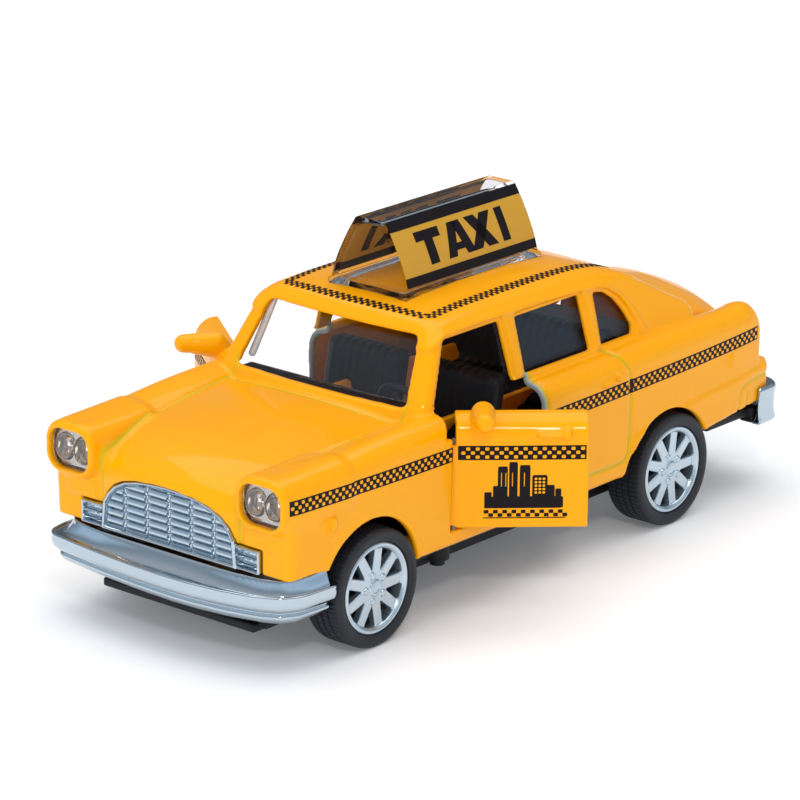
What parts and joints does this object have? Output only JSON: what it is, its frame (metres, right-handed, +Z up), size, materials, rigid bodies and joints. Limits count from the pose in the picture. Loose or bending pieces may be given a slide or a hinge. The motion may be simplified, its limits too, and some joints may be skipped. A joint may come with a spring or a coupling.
{
  "type": "toy car",
  "caption": "Die-cast toy taxi saloon with opening front doors, clear roof sign, chrome grille and bumpers, and a flywheel friction motor on the rear axle.",
  "frame": {"origin": "on the ground, midway between the axles, in the car's middle plane", "axes": "+X to the nose, +Y to the car's left, +Z up"},
  "size_m": [0.1278, 0.0794, 0.0563],
  "materials": {
    "yellow_paint": "glossy",
    "clear_glazing": "glossy",
    "chrome_plate": "polished",
    "clear_lens": "glossy",
    "lamp_bowl": "glossy",
    "red_lens": "glossy",
    "sign_plastic": "glossy",
    "label_film": "satin",
    "black_plastic": "satin",
    "steel": "satin",
    "tyre_rubber": "matte",
    "silver_plastic": "satin",
    "grey_plastic": "satin",
    "white_plastic": "satin",
    "zinc": "satin"
  },
  "bodies": {
    "body": {"body_shell": "yellow_paint", "glazing": "clear_glazing", "grille": "chrome_plate", "front_bumper": "chrome_plate", "rear_bumper": "chrome_plate", "left_headlight_lens": "clear_lens", "right_headlight_lens": "clear_lens", "left_headlight_reflector": "lamp_bowl", "right_headlight_reflector": "lamp_bowl", "left_tail_light": "red_lens", "right_tail_light": "red_lens", "roof_sign": "sign_plastic", "left_sign_label": "label_film", "right_sign_label": "label_film", "chassis": "black_plastic", "interior_tub": "black_plastic", "left_front_seat": "black_plastic", "right_front_seat": "black_plastic", "rear_seat": "black_plastic", "dashboard": "black_plastic", "steering_wheel": "black_plastic", "left_hinge_pin": "steel", "right_hinge_pin": "steel", "motor_case": "grey_plastic", "motor_cover": "grey_plastic", "chassis_screws": "steel", "motor_screws": "steel"},
    "left_door": {"left_door": "yellow_paint", "left_door_card": "black_plastic"},
    "right_door": {"right_door": "yellow_paint", "right_door_card": "black_plastic"},
    "front_axle": {"front_axle": "steel", "front_left_tyre": "tyre_rubber", "front_right_tyre": "tyre_rubber", "front_left_rim": "silver_plastic", "front_right_rim": "silver_plastic"},
    "rear_axle": {"rear_axle": "steel", "rear_left_tyre": "tyre_rubber", "rear_right_tyre": "tyre_rubber", "rear_left_rim": "silver_plastic", "rear_right_rim": "silver_plastic", "axle_gear": "white_plastic"},
    "idler": {"idler_gear": "white_plastic", "idler_shaft": "steel"},
    "flywheel": {"flywheel": "zinc", "flywheel_pinion": "steel"}
  },
  "joints": [
    {"name": "left_door_hinge", "type": "hinge", "parent": "body", "child": "left_door", "pos_m": [0.018, 0.0234, 0.0205], "axis": [0, 0, -1], "range_deg": [-47, 11]},
    {"name": "right_door_hinge", "type": "hinge", "parent": "body", "child": "right_door", "pos_m": [0.018, -0.0234, 0.0205], "axis": [0, 0, 1], "range_deg": [-53, 5]},
    {"name": "front_axle_spin", "type": "hinge", "parent": "body", "child": "front_axle", "pos_m": [0.03625, 0, 0.00925], "axis": [0, 1, 0], "continuous": true},
    {"name": "rear_axle_spin", "type": "hinge", "parent": "body", "child": "rear_axle", "pos_m": [-0.03625, 0, 0.00925], "axis": [0, 1, 0], "continuous": true},
    {"name": "idler_spin", "type": "hinge", "parent": "body", "child": "idler", "pos_m": [-0.03131, 0, 0.01385], "axis": [0, 1, 0], "continuous": true},
    {"name": "flywheel_spin", "type": "hinge", "parent": "body", "child": "flywheel", "pos_m": [-0.02442, 0, 0.01264], "axis": [0, 1, 0], "continuous": true}
  ],
  "couplings": [
    {"joint": "idler_spin", "follows": "rear_axle_spin", "ratio": -2},
    {"joint": "flywheel_spin", "follows": "rear_axle_spin", "ratio": 5}
  ]
}
